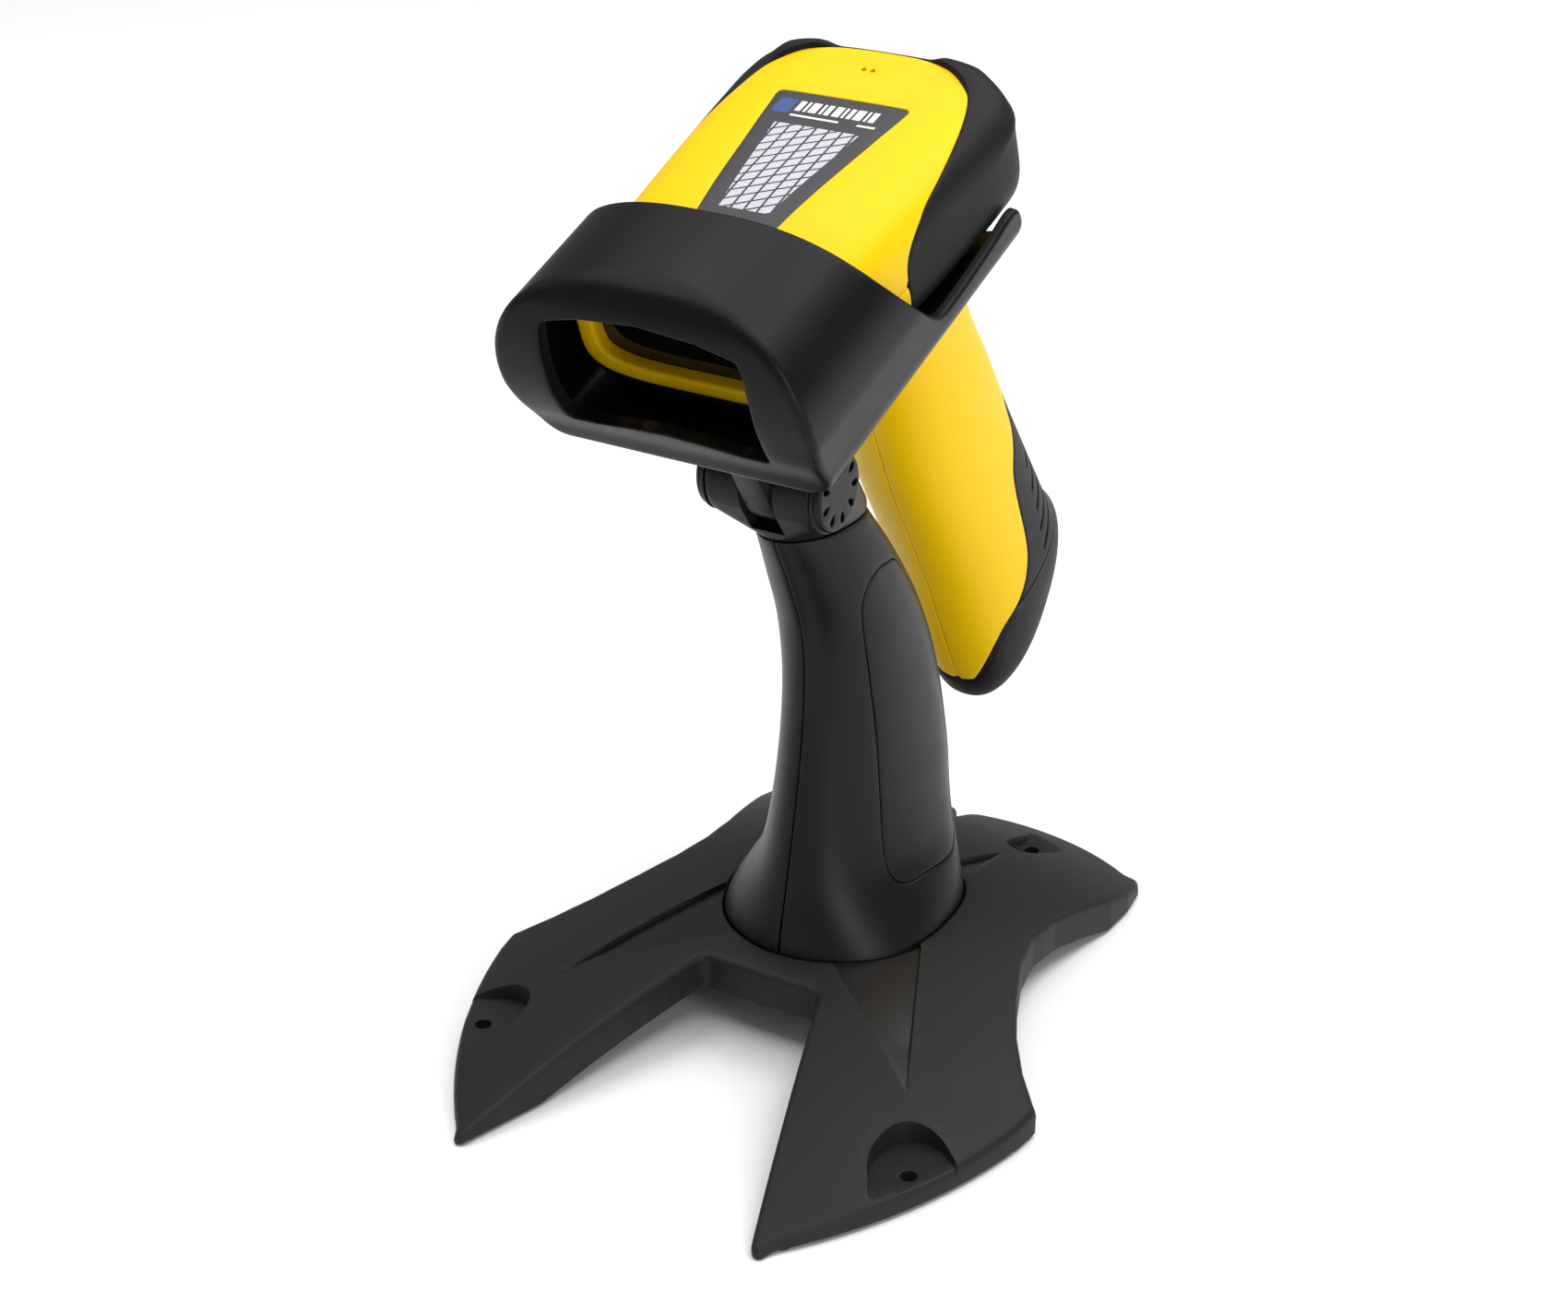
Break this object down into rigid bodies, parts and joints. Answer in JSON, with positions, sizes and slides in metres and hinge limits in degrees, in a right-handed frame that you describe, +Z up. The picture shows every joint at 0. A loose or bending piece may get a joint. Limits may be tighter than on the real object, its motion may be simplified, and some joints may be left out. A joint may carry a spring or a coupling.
{
  "type": "barcode scanner on a stand",
  "caption": "Pistol-grip barcode scanner parked in the tilting cradle of a hands-free stand with a curved column and a domed four-legged base.",
  "frame": {"origin": "centre of the whole object's footprint on the floor the base stands on", "axes": "+Z up, -Y the reading side, +X across the object's plane of symmetry"},
  "size_m": [0.1512, 0.2158, 0.2385],
  "materials": {
    "stand_plastic": "satin black moulded plastic",
    "cradle_plastic": "satin black moulded plastic",
    "yellow_plastic": "satin yellow moulded plastic",
    "grip_rubber": "black soft overmould",
    "label": "printed film",
    "window": "dark red filter",
    "steel": "zinc plated",
    "ballast": "rough cast",
    "pad": "soft pads",
    "washer": "acetal washers",
    "lens": "clear light pipes",
    "board": "solder mask",
    "dark_part": "moulded part",
    "optic": "coated lens",
    "cell": "sleeved cell"
  },
  "bodies": {
    "stand": {"base_shell": "stand_plastic", "ballast_plate": "ballast", "ballast_screws": "steel", "foot_pads": "pad", "column_left": "stand_plastic", "column_right": "stand_plastic", "column_screws": "steel", "side_cover_left": "stand_plastic", "side_cover_right": "stand_plastic", "yoke_head": "stand_plastic", "hinge_bolt": "steel", "hinge_nut": "steel", "hinge_cap_left": "stand_plastic", "hinge_cap_right": "stand_plastic", "friction_washers": "washer"},
    "cradle": {"cradle": "cradle_plastic"},
    "scanner": {"body_left": "yellow_plastic", "body_right": "yellow_plastic", "top_cover": "yellow_plastic", "label_plate": "label", "nose_bezel": "yellow_plastic", "scan_window": "window", "rear_bumper": "grip_rubber", "grip_cover": "grip_rubber", "handle_cap": "grip_rubber", "cable_socket": "dark_part", "indicator_lenses": "lens", "main_board": "board", "scan_engine": "dark_part", "engine_lens": "optic", "beeper": "dark_part", "micro_switch": "dark_part", "battery": "cell", "body_screws": "steel", "trigger_pin": "steel", "trigger_spring": "steel"},
    "trigger": {"trigger": "grip_rubber"}
  },
  "joints": [
    {"name": "cradle_tilt", "type": "hinge", "parent": "stand", "child": "cradle", "pos_m": [0, -0.0286, 0.1508], "axis": [1, 0, 0], "range_deg": [-8, 40]},
    {"name": "scanner_pull", "type": "slide", "parent": "cradle", "child": "scanner", "axis": [0, 0.9455, 0.3256], "range_m": [0, 0.11]},
    {"name": "trigger_pull", "type": "hinge", "parent": "scanner", "child": "trigger", "pos_m": [0, 0.00064, 0.18584], "axis": [1, 0, 0], "range_deg": [0, 6], "stiffness_Nm_per_rad": 0.5, "springref_deg": -1.72}
  ]
}
